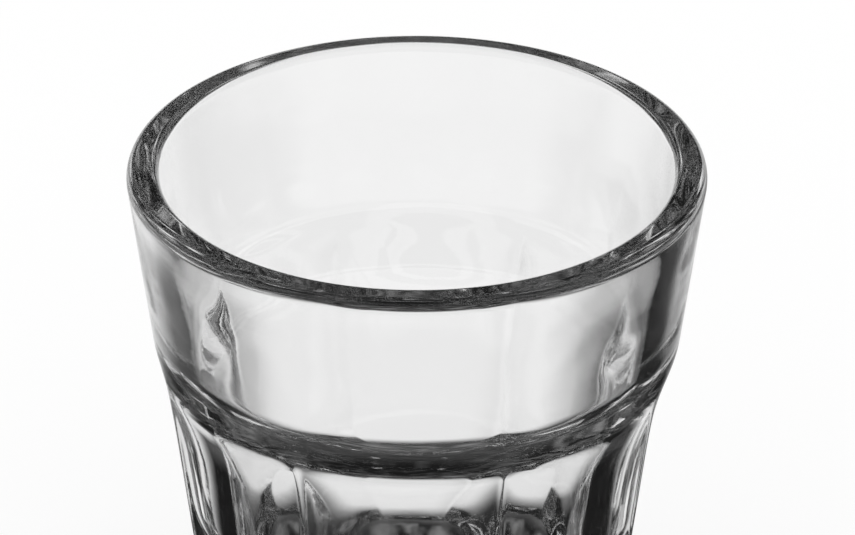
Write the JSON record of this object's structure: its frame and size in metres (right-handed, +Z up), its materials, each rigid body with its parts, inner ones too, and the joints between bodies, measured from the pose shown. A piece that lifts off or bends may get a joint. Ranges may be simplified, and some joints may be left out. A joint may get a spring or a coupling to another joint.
{
  "type": "vodka glass",
  "caption": "Small tapered drinking glass of thick clear pressed glass, with a rounded lip, a plain round band below it, pressed flats lower down and a heavy base.",
  "frame": {"origin": "centre of the base, on the surface that the glass stands on", "axes": "+Z up along the glass's axis, -Y out of the middle of one pressed flat"},
  "size_m": [0.049, 0.049, 0.052],
  "materials": {
    "clear_glass": "clear fire-polished pressed glass, with faint waves in the surface"
  },
  "bodies": {
    "root": {"glass_body": "clear_glass"}
  },
  "joints": []
}
